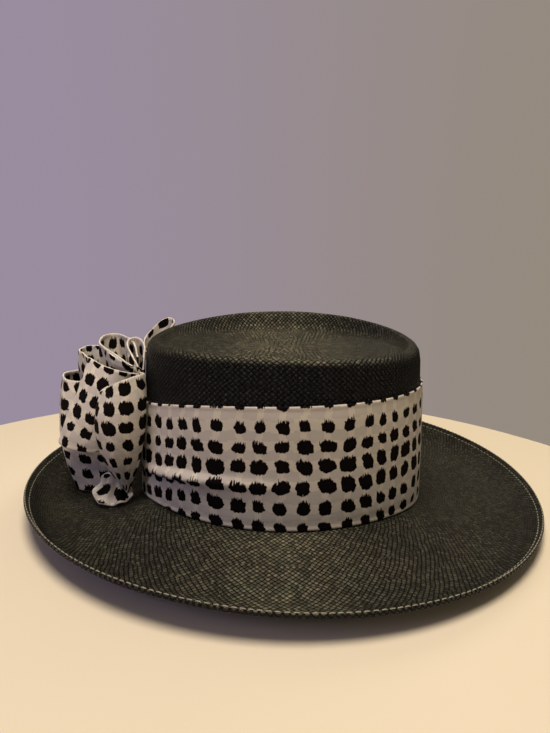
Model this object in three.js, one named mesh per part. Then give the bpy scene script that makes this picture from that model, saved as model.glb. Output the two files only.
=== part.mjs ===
// A woven straw boater with a sunken oval tip, a curved brim, a printed cloth band and a soft bow.
// Millimetres, +Z up. +X is the hat's front and -X its back, where the bow sits.
// The origin lies under the middle of the brim, on the surface that the hat rests on.
import * as THREE from 'three';

// Driving sizes
const columns = 60;
const strawWall = 1.6;
const clothWall = 1.2;
const gap = 0.3;

// Brim
const brimHalfLength = 179;
const brimHalfWidth = 164.5;
const hemWall = 2.8;
const collarRise = 2.5;
const brimRootHeight = 0.3;
const restingArc = 27;
const sideLift = 7;

// Brim edge: its mean height, and how far it rises and falls on its way round
const edgeMeanHeight = 12.3;
const edgeBackLift = 3.5;
const edgeNearLift = 1.6;
const edgeSideLift = 1.3;
const edgeTwist = 1.7;

// Saddle where the crown meets the brim
const saddleRise = 9.4;
const saddleFrontSharpness = 4;
const saddleBackSharpness = 8;

// Crown
const crownCentreX = -2.3;
const crownHalfLength = 99.5;
const crownHalfWidth = 85;
const crownTaperCurve = 1.3;
const crestHalfLength = 94;
const crestHalfWidth = 83.2;
const crestHeight = 115.5;
const crestRadius = 3.5;
const crestEndRadius = 7.5;
const crestFarLift = 1.8;
const crestEndDrop = 2.2;
const crestTwist = 0.7;
const tipDepth = 9;
const tipSlopeRun = 16;

// Band
const bandTopHeight = 89.4;
const bandTopBackDrop = 19;
const bandTopFrontDrop = 3;
const bandFootClear = 1.5;
const bandEdgeBlend = 8;

// Tuck fold of the band: turns round the hat in degrees, heights in millimetres
const tuckDepth = 3;
const tuckTopTurn = 254;
const tuckTopHeight = 40.5;
const tuckFall = 14.5;
const tuckFallArc = 52;
const tuckPeakTurn = 236;
const tuckFadeToFront = 40;
const tuckFadeToBow = 50;
const tuckUnderRun = 8;
const tuckOverRun = 9;

// Bow
const bowNeckRadius = 8.5;
const bowNeckGap = 2.8;
const loopRows = 5;
// The widest place of a loop's teardrop outline, at 120 degrees of its turn, as a share of its spread.
const teardropWidest = 0.65;
// How much of the cloth's wall is kept clear from its middle surface to the pieces that it lies on.
const clothClearance = 0.7;

// Plain mathematics
const radians = (degrees) => degrees * Math.PI / 180;
const degrees = (angle) => angle * 180 / Math.PI;
const mix = (a, b, share) => a + (b - a) * share;
const clamp01 = (value) => Math.min(Math.max(value, 0), 1);

function smooth(value) {
  const share = clamp01(value);
  return share * share * (3 - 2 * share);
}

// The smallest turn from one direction to another, in degrees.
function turnBetween(from, to) {
  return THREE.MathUtils.euclideanModulo(to - from + 180, 360) - 180;
}

// Heights round the hat. Turn 0 is the front, 90 the far side, 180 the back and 270 the near side.

// The crown's foot and the brim's root rise over the ears and dip at the front and back.
function saddle(turn) {
  const along = Math.cos(radians(turn));
  const sharpness = along > 0 ? saddleFrontSharpness : saddleBackSharpness;
  return saddleRise * (1 - Math.abs(along) ** sharpness);
}

// The underside of the brim's flat run: on the table at the front and back, lifted at the sides.
function runHeight(turn) {
  const fromEnd = 90 - Math.abs(90 - Math.abs(turnBetween(0, turn)));
  return sideLift * smooth((fromEnd - restingArc) / (90 - restingArc));
}

// The underside of the brim's edge: lowest in front, highest at the back, with a slight twist.
function edgeHeight(turn) {
  const t = radians(turn);
  const once = edgeBackLift * Math.cos(t) + edgeNearLift * Math.sin(t);
  const twice = edgeSideLift * Math.cos(2 * t) - edgeTwist * Math.sin(2 * t);
  return edgeMeanHeight - once - twice;
}

// How far the crown's crest lies over its height on the near side: higher on the far side, lower at
// its two ends, with a slight twist.
function crestLift(turn) {
  const t = radians(turn);
  const ends = crestEndDrop * (1 + Math.cos(2 * t)) - crestTwist * Math.sin(2 * t);
  return crestFarLift * (1 + Math.sin(t)) - ends;
}

// The crest is rounder at its two ends than along its sides.
function crestRound(turn) {
  return mix(crestRadius, crestEndRadius, Math.cos(radians(turn)) ** 2);
}

// The band's top edge drops steeply at the back, where the bow hides it, and a little in front.
function bandTop(turn) {
  const toBack = (1 - Math.cos(radians(turn))) / 2;
  return bandTopHeight - bandTopBackDrop * toBack ** 5 - bandTopFrontDrop * (1 - toBack) ** 8;
}

function bandLow(turn) {
  return brimRootHeight + strawWall + bandFootClear + saddle(turn);
}

// The line of the tuck climbs from the bow towards the middle of the near side.
function tuckHeight(turn) {
  const towardsBow = clamp01(turnBetween(turn, tuckTopTurn) / tuckFallArc);
  return tuckTopHeight - tuckFall * towardsBow ** 2;
}

// The tuck is deepest at its peak turn and fades out to both sides.
function tuckStrength(turn) {
  const beyond = turnBetween(tuckPeakTurn, turn);
  return beyond > 0 ? smooth(1 - beyond / tuckFadeToFront) : smooth(1 + beyond / tuckFadeToBow);
}

// Half-length and half-width of the crown's outer skin at a height.
function crownOval(height) {
  const share = clamp01(height / (crestHeight - crestRadius)) ** crownTaperCurve;
  return {
    halfLength: mix(crownHalfLength, crestHalfLength, share),
    halfWidth: mix(crownHalfWidth, crestHalfWidth, share),
  };
}

// A point on an oval ring.
function ovalPoint(oval, turn, height) {
  const t = radians(turn);
  return new THREE.Vector3(
    (oval.centreX ?? crownCentreX) + oval.halfLength * Math.cos(t),
    oval.halfWidth * Math.sin(t),
    height,
  );
}

// The outward direction of an oval ring in plan.
function ovalOutward(oval, turn) {
  const t = radians(turn);
  const length = Math.max(oval.halfLength, 1);
  const width = Math.max(oval.halfWidth, 1);
  return new THREE.Vector3(Math.cos(t) / length, Math.sin(t) / width, 0).normalize();
}

// A closed solid from two skins of grid points, joined along their rims.
function solidFromSkins(outer, inner, closedRound) {
  const positions = [];
  const across = outer[0].length - 1;
  const around = closedRound ? outer.length : outer.length - 1;
  const corner = (skin, i, j) => skin[i % outer.length][j];

  function triangle(a, b, c) {
    const leastArea = 1e-5;
    if (new THREE.Triangle(a, b, c).getArea() > leastArea) {
      positions.push(...a.toArray(), ...b.toArray(), ...c.toArray());
    }
  }

  function quad(a, b, c, d) {
    triangle(a, b, c);
    triangle(a, c, d);
  }

  for (let i = 0; i < around; i += 1) {
    for (let j = 0; j < across; j += 1) {
      quad(
        corner(outer, i, j),
        corner(outer, i + 1, j),
        corner(outer, i + 1, j + 1),
        corner(outer, i, j + 1),
      );
      quad(
        corner(inner, i, j),
        corner(inner, i, j + 1),
        corner(inner, i + 1, j + 1),
        corner(inner, i + 1, j),
      );
    }
    quad(corner(inner, i, 0), corner(inner, i + 1, 0), corner(outer, i + 1, 0), corner(outer, i, 0));
    quad(
      corner(outer, i, across),
      corner(outer, i + 1, across),
      corner(inner, i + 1, across),
      corner(inner, i, across),
    );
  }
  if (!closedRound) {
    for (let j = 0; j < across; j += 1) {
      quad(corner(outer, 0, j), corner(outer, 0, j + 1), corner(inner, 0, j + 1), corner(inner, 0, j));
      quad(
        corner(inner, around, j),
        corner(inner, around, j + 1),
        corner(outer, around, j + 1),
        corner(outer, around, j),
      );
    }
  }
  return outwardGeometry(positions);
}

// A geometry from loose triangles, which are turned round if their volume comes out negative.
function outwardGeometry(positions) {
  let volume = 0;
  for (let k = 0; k < positions.length; k += 9) {
    const [a, b, c] = [0, 3, 6].map((step) => new THREE.Vector3().fromArray(positions, k + step));
    volume += a.dot(b.cross(c)) / 6;
  }
  if (volume < 0) {
    for (let k = 0; k < positions.length; k += 9) {
      const swapped = positions.slice(k + 3, k + 6);
      positions.splice(k + 3, 3, ...positions.slice(k + 6, k + 9));
      positions.splice(k + 6, 3, ...swapped);
    }
  }
  const geometry = new THREE.BufferGeometry();
  geometry.setAttribute('position', new THREE.Float32BufferAttribute(positions, 3));
  geometry.computeVertexNormals();
  return geometry;
}

// A wall round the hat from rows of ovals, which give the skin it starts from. The wall is laid on the
// side that `side` says: 1 is outwards or up, -1 is inwards or down. A row's lean is the tilt of the
// skin's normal in degrees: 0 points outwards, 90 up. Rows without a lean take it from their neighbours.
function ringWall(rows, side) {
  const start = [];
  const other = [];
  for (let i = 0; i < columns; i += 1) {
    const turn = 360 * i / columns;
    const ovals = rows.map((row) => row.oval(turn));
    const points = rows.map((row, j) => ovalPoint(ovals[j], turn, row.height(turn)));
    const outward = ovals.map((oval) => ovalOutward(oval, turn));
    start.push(points);
    other.push(points.map((point, j) => {
      const before = points[Math.max(j - 1, 0)];
      const after = points[Math.min(j + 1, rows.length - 1)];
      const run = after.clone().sub(before).dot(outward[j]);
      const rise = after.z - before.z;
      const lean = rows[j].lean === undefined ? Math.atan2(-run, rise) : radians(rows[j].lean);
      const normal = outward[j].clone().multiplyScalar(Math.cos(lean));
      normal.z = Math.sin(lean);
      return point.clone().addScaledVector(normal, side * rows[j].wall);
    }));
  }
  return side > 0 ? solidFromSkins(other, start, true) : solidFromSkins(start, other, true);
}

// Crown: the wall's rows run from the foot to the start of the crest.
const crownWallRows = [
  { name: 'foot', height: (turn) => brimRootHeight + collarRise + gap + saddle(turn), lean: 0 },
  { name: 'lower wall', height: () => 40 },
  { name: 'upper wall', height: () => 78 },
  { name: 'top of the wall', height: (turn) => crestHeight - crestRound(turn) + crestLift(turn), lean: 0 },
];

// The crown's top rows run over the crest and down to the middle of the tip. radii and down count in
// radii of the crest's round and say how far a row lies inside the crest oval and under it. run is the share of the
// slope's run, sink the share of the tip's depth and lift the share of the crest's lift that it takes.
const crownTopRows = [
  { name: 'outer turn', radii: 0.3, down: 0.29, run: 0, sink: 0, lean: 45, lift: 1 },
  { name: 'crest', radii: 1, down: 0, run: 0, sink: 0, lean: 90, lift: 1 },
  { name: 'inner turn', radii: 1, down: 0, run: 0.15, sink: 0.1, lean: 115, lift: 1 },
  { name: 'slope', radii: 1, down: 0, run: 0.6, sink: 0.72, lean: 118, lift: 0.4 },
  { name: 'foot of the slope', radii: 1, down: 0, run: 1, sink: 1, lean: 90, lift: 0 },
  { name: 'middle of the tip', radii: 1, down: 0, run: Infinity, sink: 1, lean: 90, lift: 0 },
];

function crownGeometry() {
  const wall = crownWallRows.map((row) => ({
    ...row,
    wall: strawWall,
    oval: (turn) => crownOval(row.height(turn)),
  }));
  const top = crownTopRows.map((row) => ({
    ...row,
    wall: strawWall,
    height: (turn) => {
      const level = crestHeight - crestRound(turn) * row.down - tipDepth * row.sink;
      return level + row.lift * crestLift(turn);
    },
    oval: (turn) => {
      const slopeRun = crestRadius + tipSlopeRun - crestRound(turn);
      const inset = crestRound(turn) * row.radii + slopeRun * row.run;
      return {
        halfLength: Math.max(crestHalfLength - inset, 0),
        halfWidth: Math.max(crestHalfWidth - inset, 0),
      };
    },
  }));
  return ringWall([...wall, ...top], -1);
}

// Brim: rows run from the collar under the crown to the edge. share is the part of the brim's width,
// level is the height in steps (0 the root, 1 the flat run, 2 the edge) and above is added to it.
const brimRows = [
  { name: 'collar', share: 0, level: 0, above: collarRise, wall: strawWall, lean: 180 },
  { name: 'bend', share: 0.011, level: 0, above: 0.7, wall: strawWall, lean: -145 },
  { name: 'root', share: 0.035, level: 0, above: 0, wall: strawWall, lean: -90 },
  { name: 'slope', share: 0.32, level: 0.6, above: 0, wall: strawWall },
  { name: 'start of the flat run', share: 0.6, level: 1, above: 0, wall: strawWall, lean: -90 },
  { name: 'end of the flat run', share: 0.72, level: 1, above: 0, wall: strawWall, lean: -90 },
  { name: 'rise', share: 0.82, level: 1.14, above: 0, wall: strawWall },
  { name: 'crease', share: 0.89, level: 1.36, above: 0, wall: strawWall },
  { name: 'hem', share: 0.965, level: 1.84, above: 0, wall: strawWall },
  { name: 'edge', share: 1, level: 2, above: 0, wall: hemWall },
];

function brimOval(share) {
  return {
    centreX: mix(crownCentreX, 0, share),
    halfLength: mix(crownHalfLength - strawWall, brimHalfLength, share),
    halfWidth: mix(crownHalfWidth - strawWall, brimHalfWidth, share),
  };
}

function brimUnderside(row, turn) {
  const rootHeight = brimRootHeight + saddle(turn);
  const inner = mix(rootHeight, runHeight(turn), clamp01(row.level));
  return mix(inner, edgeHeight(turn), clamp01(row.level - 1)) + row.above;
}

function brimGeometry() {
  const rows = brimRows.map((row) => ({
    ...row,
    oval: () => brimOval(row.share),
    height: (turn) => brimUnderside(row, turn),
  }));
  return ringWall(rows, -1);
}

// The share of the brim's width at which a place in plan lies, found by halving.
function brimShareAt(x, y) {
  const halvings = 20;
  let low = 0;
  let high = 1;
  for (let step = 0; step < halvings; step += 1) {
    const share = (low + high) / 2;
    const oval = brimOval(share);
    const outside = Math.hypot((x - oval.centreX) / oval.halfLength, y / oval.halfWidth) > 1;
    [low, high] = outside ? [share, high] : [low, share];
  }
  return high;
}

// The height of the brim's underside at a place in plan.
function brimHeightAt(x, y) {
  const share = brimShareAt(x, y);
  const oval = brimOval(share);
  const turn = degrees(Math.atan2(y / oval.halfWidth, (x - oval.centreX) / oval.halfLength));
  const next = Math.max(brimRows.findIndex((row) => row.share >= share), 1);
  const [before, after] = [brimRows[next - 1], brimRows[next]];
  const along = (share - before.share) / (after.share - before.share);
  return mix(brimUnderside(before, turn), brimUnderside(after, turn), clamp01(along));
}

// Band: a cloth wall round the crown, with rows that follow the line of the tuck. relief is how far the
// cloth lies off the crown beyond the gap and tuck how much of the tuck's depth it takes.
const bandRows = [
  { name: 'lower hem', height: bandLow, relief: 0.4, tuck: 0 },
  { name: 'under the tuck', height: (turn) => tuckHeight(turn) - tuckUnderRun, relief: 0.4, tuck: -0.1 },
  { name: 'tuck', height: tuckHeight, relief: 0.5, tuck: 1 },
  { name: 'over the tuck', height: (turn) => tuckHeight(turn) + tuckOverRun, relief: 0.6, tuck: 0.15 },
  { name: 'upper part', height: upperPartHeight, relief: 0.9, tuck: 0 },
  { name: 'upper hem', height: bandTop, relief: 0.4, tuck: 0 },
];

function upperPartHeight(turn) {
  return mix(tuckHeight(turn) + tuckOverRun, bandTop(turn), 0.55);
}

function bandGeometry() {
  const rows = bandRows.map((row) => ({
    ...row,
    wall: clothWall,
    lean: 0,
    oval: (turn) => {
      const relief = gap + row.relief + row.tuck * tuckDepth * tuckStrength(turn);
      const crown = crownOval(row.height(turn));
      return { halfLength: crown.halfLength + relief, halfWidth: crown.halfWidth + relief };
    },
  }));
  return ringWall(rows, 1);
}

// Keeps a point of the bow's cloth outside the crown, or outside the band where the band covers it.
function clearOfCrown(point) {
  const turn = degrees(Math.atan2(point.y, point.x - crownCentreX));
  const overBand = smooth((point.z - bandTop(turn)) / bandEdgeBlend);
  const bandCover = gap + 1 + clothWall + tuckDepth;
  const room = mix(bandCover, 0, overBand) + gap + clothWall * clothClearance;
  const crown = crownOval(point.z);
  const x = point.x - crownCentreX;
  const reach = Math.hypot(x / (crown.halfLength + room), point.y / (crown.halfWidth + room));
  if (reach < 1) {
    point.x = crownCentreX + x / reach;
    point.y /= reach;
  }
  return point;
}

// Keeps a point of the bow's cloth over the brim.
function clearOfBrim(point) {
  const lowest = brimHeightAt(point.x, point.y) + strawWall + gap + clothWall * clothClearance;
  point.z = Math.max(point.z, lowest);
  return point;
}

// A bent sheet of cloth: middle(u, v) gives its middle surface and the wall is laid half to each side.
function sheetGeometry(middle, along, across) {
  const outer = [];
  const inner = [];
  const step = 0.004;
  for (let i = 0; i <= along; i += 1) {
    const u = i / along;
    const outerColumn = [];
    const innerColumn = [];
    for (let j = 0; j <= across; j += 1) {
      const v = j / across;
      const alongCloth = middle(Math.min(u + step, 1), v).sub(middle(Math.max(u - step, 0), v));
      const acrossCloth = middle(u, Math.min(v + step, 1)).sub(middle(u, Math.max(v - step, 0)));
      const normal = alongCloth.cross(acrossCloth).normalize();
      const point = middle(u, v);
      outerColumn.push(point.clone().addScaledVector(normal, clothWall / 2));
      innerColumn.push(point.clone().addScaledVector(normal, -clothWall / 2));
    }
    outer.push(outerColumn);
    inner.push(innerColumn);
  }
  return solidFromSkins(outer, inner, false);
}

// Bow loops: each leaves the knot at x and y, bends round and comes back to it. heading is its direction
// in plan, reach its length and spread its width. topAtKnot, topAtTip, lowAtKnot and lowAtTip are the
// heights of the cloth's two edges, and topTilt and lowTilt lift them on the side that comes first. lean
// carries the low edge outwards, skew carries it sideways, taper narrows it and belly swells the middle.
// pleats and pleatDepth shape the folds that run down the cloth, and along is its number of facets.
const loops = [
  {
    name: 'bow_loop_near', x: -103, y: -12, heading: 267, reach: 51, spread: 27,
    topAtKnot: 95, topAtTip: 94, topTilt: 7, lowAtKnot: 62, lowAtTip: 19, lowTilt: -7,
    lean: -4, skew: 2, taper: 0.3, belly: 1, pleats: 0, pleatDepth: 0, along: 24,
  },
  {
    name: 'bow_loop_side', x: -103, y: -12, heading: 219, reach: 39, spread: 21,
    topAtKnot: 96, topAtTip: 104, topTilt: -1.5, lowAtKnot: 72, lowAtTip: 51, lowTilt: 1,
    lean: 16, skew: 0, taper: 1, belly: 2, pleats: 3, pleatDepth: 1.2, along: 26,
  },
  {
    name: 'bow_loop_outer', x: -103, y: -6, heading: 179, reach: 53, spread: 21,
    topAtKnot: 90, topAtTip: 83, topTilt: 0, lowAtKnot: 60, lowAtTip: 3, lowTilt: 0,
    lean: 2, skew: 7, taper: 0.8, belly: 5, pleats: 2, pleatDepth: 1.2, along: 24,
  },
  {
    name: 'bow_loop_back', x: -102, y: -7, heading: 132, reach: 38, spread: 25,
    topAtKnot: 97, topAtTip: 106, topTilt: 0, lowAtKnot: 66, lowAtTip: 38, lowTilt: 0,
    lean: 3, skew: 0, taper: 1, belly: 1, pleats: 2, pleatDepth: 1, along: 24,
  },
  {
    name: 'bow_loop_small', x: -100.5, y: -9, heading: 98, reach: 20, spread: 6,
    topAtKnot: 96, topAtTip: 108, topTilt: 0, lowAtKnot: 78, lowAtTip: 74, lowTilt: 0,
    lean: 0, skew: 0, taper: 1, belly: 0.5, pleats: 0, pleatDepth: 0, along: 16,
  },
  {
    name: 'bow_loop_far', x: -104, y: 11, heading: 83, reach: 62, spread: 18,
    topAtKnot: 96, topAtTip: 112, topTilt: 0, lowAtKnot: 72, lowAtTip: 30, lowTilt: 0,
    lean: 0, skew: 0, taper: 0.8, belly: 2, pleats: 2, pleatDepth: 1, along: 24,
  },
];

// The middle surface of a loop: u runs along the cloth from the knot and back to it, v from its low
// edge to its top edge.
function loopSurface(loop) {
  const heading = radians(loop.heading);
  const forward = new THREE.Vector2(Math.cos(heading), Math.sin(heading));
  const sideways = new THREE.Vector2(-Math.sin(heading), Math.cos(heading));
  return (u, v) => {
    const angle = 2 * Math.PI * u;
    const out = (1 - Math.cos(angle)) / 2;
    const side = Math.sin(angle) * out / teardropWidest;
    const awayFromHems = Math.sin(Math.PI * mix(0.1, 0.9, v));
    const fold = loop.pleatDepth * Math.cos(angle * loop.pleats) * smooth(out * 1.6) * awayFromHems;
    const swell = (loop.belly * Math.sin(Math.PI * v) + fold) * out;
    const halfSpread = loop.spread / 2 * mix(loop.taper, 1, smooth(v / 0.7)) + swell;
    const distance = mix(bowNeckRadius, loop.reach, out) + loop.lean * (1 - v) * out + swell;
    const offset = side * halfSpread + bowNeckGap / 2 * (1 - 2 * u) + loop.skew * (1 - v) * out;
    const top = mix(loop.topAtKnot, loop.topAtTip, out) + loop.topTilt * side;
    const low = mix(loop.lowAtKnot, loop.lowAtTip, smooth(out * 1.4)) + loop.lowTilt * side;
    const point = new THREE.Vector3(
      loop.x + forward.x * distance + sideways.x * offset,
      loop.y + forward.y * distance + sideways.y * offset,
      mix(low, top, v),
    );
    return clearOfBrim(clearOfCrown(point));
  };
}

// Knot: a small gathered wrap, an upright rounded form against the crown.
const knot = {
  x: -102.8, y: -11, z: 82, halfDepth: 4.6, halfWidth: 5.6, halfHeight: 10, facetsRound: 12, facetsUp: 8,
};

function knotGeometry() {
  const geometry = new THREE.SphereGeometry(1, knot.facetsRound, knot.facetsUp);
  geometry.rotateX(Math.PI / 2);
  geometry.scale(knot.halfDepth, knot.halfWidth, knot.halfHeight);
  geometry.translate(knot.x, knot.y, knot.z);
  return geometry;
}

// Tail: a short end of the cloth that lies in one fold on the brim, under the near loop. It runs from
// the outer side to the crown's side, arches up between them and is a little higher towards the knot.
const tail = {
  outerX: -129, innerX: -109, nearY: -50, knotY: -31, bulge: 3, nearZ: 3, knotZ: 9, arch: 12,
  archInFront: 0.6, facetsAlong: 8, facetsAcross: 4,
};

function tailSurface(u, v) {
  const arch = Math.sin(Math.PI * u);
  const point = new THREE.Vector3(
    mix(tail.outerX, tail.innerX, u),
    mix(tail.nearY, tail.knotY, v) - tail.bulge * arch * (1 - v),
    mix(tail.nearZ, tail.knotZ, v) + tail.arch * arch * mix(tail.archInFront, 1, v),
  );
  return clearOfBrim(clearOfCrown(point));
}

// Finishes
const straw = { color: 0x1c1c1a, roughness: 0.62, metalness: 0 };
const cloth = { color: 0xd9cfc0, roughness: 0.8, metalness: 0 };

function piece(name, geometry, finish) {
  const mesh = new THREE.Mesh(geometry, new THREE.MeshStandardMaterial(finish));
  mesh.name = name;
  return mesh;
}

const hat = new THREE.Group();
hat.name = 'boater_hat';
hat.add(piece('crown', crownGeometry(), straw));
hat.add(piece('brim', brimGeometry(), straw));
hat.add(piece('hat_band', bandGeometry(), cloth));
hat.add(piece('bow_knot', knotGeometry(), cloth));
for (const loop of loops) {
  hat.add(piece(loop.name, sheetGeometry(loopSurface(loop), loop.along, loopRows), cloth));
}
const tailGeometry = sheetGeometry(tailSurface, tail.facetsAlong, tail.facetsAcross);
hat.add(piece('bow_tail', tailGeometry, cloth));

export default hat;
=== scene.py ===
# %% [markdown]
# A woven straw boater with a printed cloth band and a soft bow.
#
# The sizes and places of all pieces are settled in the CAD model, which is loaded here as a fixed frame.
# This lesson dresses it: fine smooth surfaces instead of facets, woven straw, printed cloth, hems and
# stitches, and the light to see them by. Blender counts in metres. The tables below are easier to read
# in millimetres, so one helper turns millimetres into metres when a mesh is made.

# %% Load the fixed frame
import math

import bmesh
import bpy
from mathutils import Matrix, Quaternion, Vector, noise


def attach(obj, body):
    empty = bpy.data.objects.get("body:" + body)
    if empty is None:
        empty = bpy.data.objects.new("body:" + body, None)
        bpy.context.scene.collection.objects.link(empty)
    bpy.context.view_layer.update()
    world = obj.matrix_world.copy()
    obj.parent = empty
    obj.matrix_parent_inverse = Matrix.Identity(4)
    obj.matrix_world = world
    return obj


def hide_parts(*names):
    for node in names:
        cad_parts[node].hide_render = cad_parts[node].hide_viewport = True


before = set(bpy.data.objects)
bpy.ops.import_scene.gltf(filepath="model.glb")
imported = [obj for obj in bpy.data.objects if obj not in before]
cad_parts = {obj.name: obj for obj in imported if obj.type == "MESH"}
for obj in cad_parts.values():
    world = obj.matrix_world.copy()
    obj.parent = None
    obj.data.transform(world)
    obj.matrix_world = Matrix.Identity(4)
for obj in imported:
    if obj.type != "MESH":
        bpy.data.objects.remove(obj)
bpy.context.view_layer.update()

MM = 0.001

# %% [markdown]
# Small helpers first. mix goes from one value to another by a share, smooth is the same with a soft
# start and stop, and through draws a smooth line through the points of a table without overshooting.
# The last one matters here: a flat stretch between two equal heights has to stay flat, because the hat
# stands on it.

# %% Helpers for shaping


def mix(a, b, share):
    return a + (b - a) * share


def clamp01(value):
    return min(max(value, 0.0), 1.0)


def smooth(value):
    share = clamp01(value)
    return share * share * (3 - 2 * share)


def hump(distance, reach):
    """1 at no distance, and soon nothing beyond reach."""
    return math.exp(-(distance / reach) ** 2)


def turn_between(start, end):
    return (end - start + 180) % 360 - 180


def through(table, x):
    """The height at x of a smooth line through table's (x, height) points, never beyond its neighbours."""
    if x <= table[0][0]:
        return table[0][1]
    if x >= table[-1][0]:
        return table[-1][1]
    steps = [(b[1] - a[1]) / (b[0] - a[0]) for a, b in zip(table, table[1:])]
    slopes = [steps[0]]
    for before, after in zip(steps, steps[1:]):
        slopes.append(0.0 if before * after <= 0 else 2 * before * after / (before + after))
    slopes.append(steps[-1])
    i = next(k for k in range(len(steps)) if x <= table[k + 1][0])
    (x0, y0), (x1, y1) = table[i], table[i + 1]
    run = x1 - x0
    t = (x - x0) / run
    start = (1 + 2 * t) * (1 - t) ** 2 * y0 + t * (1 - t) ** 2 * run * slopes[i]
    return start + t * t * (3 - 2 * t) * y1 + t * t * (t - 1) * run * slopes[i + 1]


def wander(x, y, z, size, seed):
    """A soft random value from -1 to 1 that changes over about size millimetres."""
    return noise.noise(Vector((x / size + seed, y / size - seed, z / size + 2 * seed)))


def wander_round(turn, height, size, seed):
    """The same on a drum of 100 mm radius round the hat, so that it meets itself after a full turn."""
    t = math.radians(turn)
    return wander(100 * math.cos(t), 100 * math.sin(t), height, size, seed)


print("through a flat stretch:", round(through([(0, 1), (1, 2), (2, 2), (3, 5)], 1.5), 3))

# %% [markdown]
# The hat's own measures, in millimetres. A place round the hat is given by its turn: 0 degrees is the
# front, 90 the far side, 180 the back with the bow and 270 the near side. The brim isn't flat: where it
# meets the crown it rises over the ears and dips in front and behind, like a saddle. Its edge and the
# crown's crest go gently up and down, once and twice round the hat, and the crest is rounder at the two
# ends of the oval than at its sides. Those lines are functions of the turn.

# %% Lines round the hat
CROWN_CENTRE_X = -2.3
CROWN_HALF = (99.5, 85.0)
CREST_HALF = (94.0, 83.2)
CREST_HEIGHT = 115.5
CREST_RADIUS = 3.5
CREST_END_RADIUS = 7.5
CROWN_LEAN = 1.3  # over 1: the wall leans in more towards its top
STRAW_WALL = 1.6
GAP = 0.3  # left between two pieces where the real ones are sewn
BRIM_HALF = (179.0, 164.5)
BRIM_ROOT_HEIGHT = 0.3
COLLAR_RISE = 2.5
SADDLE_RISE = 9.4
RUN_RISE = 7.0
RUN_FLAT = 27  # degrees from front and back in which the brim touches the surface
EDGE_WAVES = (12.3, -3.5, -1.6, -1.3, 1.7)
CREST_WAVES = (-0.4, 0.0, 1.8, -2.2, 0.7)
BAND_TOP = 89.4
BAND_BACK_DROP = 19
BAND_FRONT_DROP = 3
BAND_FOOT_RISE = 1.5


def saddle(turn):
    along = math.cos(math.radians(turn))
    return SADDLE_RISE * (1 - abs(along) ** (4 if along > 0 else 8))


def run_height(turn):
    from_end = 90 - abs(90 - abs(turn_between(0, turn)))
    return RUN_RISE * smooth((from_end - RUN_FLAT) / (90 - RUN_FLAT))


def waves_round(turn, waves):
    """A level, and how far a line swings about it once (cosine, sine) and twice (the same) round the hat."""
    level, cos_once, sin_once, cos_twice, sin_twice = waves
    t = math.radians(turn)
    once = cos_once * math.cos(t) + sin_once * math.sin(t)
    return level + once + cos_twice * math.cos(2 * t) + sin_twice * math.sin(2 * t)


def edge_height(turn):
    return waves_round(turn, EDGE_WAVES)


def crest_lift(turn):
    return waves_round(turn, CREST_WAVES)


def crest_round(turn):
    return mix(CREST_RADIUS, CREST_END_RADIUS, math.cos(math.radians(turn)) ** 2)


def band_top(turn):
    to_back = (1 - math.cos(math.radians(turn))) / 2
    return BAND_TOP - BAND_BACK_DROP * to_back ** 5 - BAND_FRONT_DROP * (1 - to_back) ** 8


def band_low(turn):
    return BRIM_ROOT_HEIGHT + STRAW_WALL + BAND_FOOT_RISE + saddle(turn)


def crown_oval(height):
    share = clamp01(height / (CREST_HEIGHT - CREST_RADIUS)) ** CROWN_LEAN
    return mix(CROWN_HALF[0], CREST_HALF[0], share), mix(CROWN_HALF[1], CREST_HALF[1], share)


def on_oval(half_length, half_width, turn, height, centre_x=CROWN_CENTRE_X):
    t = math.radians(turn)
    return Vector((centre_x + half_length * math.cos(t), half_width * math.sin(t), height))


print("band height in front, near side, back:", [round(band_top(t) - band_low(t), 1) for t in (0, 270, 180)])

# %% [markdown]
# Most pieces of the hat are a grid of points that was bent: straw that goes round the head, cloth that
# goes round in a loop. So one builder makes them all. Its input is a list of columns of points, and it
# gives each face corner a place in the material (its UV). For straw that place counts strands, for
# cloth it counts millimetres, and that keeps weave and print at their real size everywhere.

# %% Make a mesh from a grid of points


def mesh_piece(name, points, faces, places, material):
    """Points in millimetres, faces as lists of points, and a place for every corner of every face."""
    mesh = bpy.data.meshes.new(name)
    mesh.from_pydata([point * MM for point in points], [], faces)
    layer = mesh.uv_layers.new(name="places")
    layer.data.foreach_set("uv", [value for place in places for value in place])
    mesh.shade_smooth()
    mesh.materials.append(material)
    piece = bpy.data.objects.new(name, mesh)
    bpy.context.scene.collection.objects.link(piece)
    return piece


def grid_faces(columns, place_of, around=True, ring=False, first=0):
    """The faces between columns of points, and the places of their corners. around joins the last column
    to the first, ring the last row to the first, and first is the number of the first point."""
    count, rows = len(columns), len(columns[0])
    faces, places = [], []
    for i in range(count if around else count - 1):
        here, ahead = first + i * rows, first + (i + 1) % count * rows
        for j in range(rows if ring else rows - 1):
            m = (j + 1) % rows
            faces.append((here + j, ahead + j, ahead + m, here + m))
            corners = ((i, j), (i + 1, j), (i + 1, j + 1), (i, j + 1))
            places += [place_of(across, up, j) for across, up in corners]
    return faces, places


def grid_mesh(name, columns, place_of, material, around=True, ring=False, end_pairs=()):
    """end_pairs lists the faces that close the two ends of a strip, as rows of its section."""
    rows = len(columns[0])
    faces, places = grid_faces(columns, place_of, around, ring)
    for end in (0, len(columns) - 1) if end_pairs else ():
        for corners in end_pairs:
            turned = corners[::-1] if end else corners
            faces.append([end * rows + j for j in turned])
            places += [place_of(end, j, j) for j in turned]
    return mesh_piece(name, [point for column in columns for point in column], faces, places, material)


def give_wall(piece, thickness):
    """A Solidify modifier lays a wall on the inner side of a surface."""
    wall = piece.modifiers.new("wall", "SOLIDIFY")
    wall.thickness = thickness * MM
    wall.offset = -1
    wall.use_even_offset = True


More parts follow.
